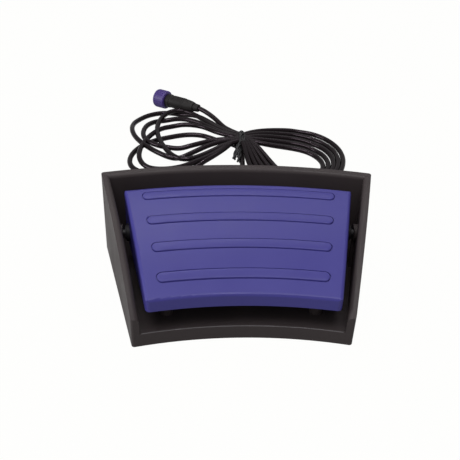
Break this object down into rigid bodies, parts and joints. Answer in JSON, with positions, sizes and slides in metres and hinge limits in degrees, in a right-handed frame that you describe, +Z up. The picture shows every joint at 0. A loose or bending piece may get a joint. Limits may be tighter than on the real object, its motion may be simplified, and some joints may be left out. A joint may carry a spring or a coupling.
{
  "type": "industrial foot switch",
  "caption": "Treadle foot switch: sector-shaped moulded tray with guard walls, hinged sprung pedal over a snap switch, and a tied cord with a round coupling connector.",
  "frame": {"origin": "centre of the footprint, on the floor under the rubber feet; the cord, its gland and connector don't count", "axes": "+X to the right as seen from the front, -Y towards the user and the pedal's front edge, +Z up"},
  "size_m": [0.2515, 0.4311, 0.082],
  "materials": {
    "black_plastic": "fine moulded texture",
    "blue_plastic": "satin moulded, slightly glossy",
    "rubber": "matt",
    "screw_steel": "zinc plated",
    "pin_steel": "ground",
    "spring_steel": "bright",
    "zinc_steel": "pressed sheet",
    "nylon": "natural",
    "switch_plastic": "moulded",
    "plunger_plastic": "moulded",
    "contact_brass": "bright",
    "gland_plastic": "moulded",
    "wire_jacket": "extruded",
    "cord_jacket": "smooth extruded",
    "tie_plastic": "extruded over wire",
    "connector_black": "textured grip",
    "connector_blue": "moulded, knurled"
  },
  "bodies": {
    "base": {"housing": "black_plastic", "bottom_cover": "black_plastic", "cover_screws": "screw_steel", "rubber_feet": "rubber", "hinge_pins": "pin_steel", "pin_clips": "spring_steel", "switch_case": "switch_plastic", "lever_pin": "pin_steel", "switch_terminals": "contact_brass", "crimp_receptacles": "contact_brass", "switch_bracket": "zinc_steel", "bracket_screws": "screw_steel", "switch_screws": "screw_steel", "switch_nuts": "screw_steel", "return_springs": "spring_steel", "stop_bumpers": "rubber", "rest_pads": "rubber", "cable_gland": "gland_plastic", "gland_nut": "gland_plastic", "strain_relief": "rubber", "inner_cable": "cord_jacket", "cable_clamp": "zinc_steel", "clamp_screws": "screw_steel", "lead_wires": "wire_jacket", "cord_tube": "cord_jacket", "cord_tail": "cord_jacket", "hank": "cord_jacket", "twist_tie": "tie_plastic", "connector_body": "connector_black", "contact_insert": "switch_plastic", "contact_pins": "contact_brass"},
    "treadle": {"pedal": "blue_plastic", "hinge_bushings": "nylon", "actuator_screw": "screw_steel", "actuator_locknut": "screw_steel"},
    "lever": {"switch_lever": "spring_steel"},
    "plunger": {"switch_plunger": "plunger_plastic"},
    "coupling": {"coupling_nut": "connector_blue"}
  },
  "joints": [
    {"name": "pedal_hinge", "type": "hinge", "parent": "base", "child": "treadle", "pos_m": [0, 0.01527, 0.05], "axis": [1, 0, 0], "range_deg": [0, 6], "stiffness_Nm_per_rad": 5, "springref_deg": -4.58, "deforming": ["return_springs"]},
    {"name": "lever_pivot", "type": "hinge", "parent": "base", "child": "lever", "pos_m": [0, -0.0088, 0.0391], "axis": [1, 0, 0], "range_deg": [0, 12]},
    {"name": "plunger_slide", "type": "slide", "parent": "base", "child": "plunger", "axis": [0, 0, -1], "range_m": [0, 0.0011]},
    {"name": "coupling_spin", "type": "hinge", "parent": "base", "child": "coupling", "pos_m": [-0.07399, 0.34396, 0.01198], "axis": [-0.8239, 0.5641, -0.0541], "continuous": true}
  ],
  "couplings": [
    {"joint": "lever_pivot", "follows": "pedal_hinge", "ratio": 1.98},
    {"joint": "plunger_slide", "follows": "pedal_hinge", "m_per_rad": 0.00955}
  ]
}
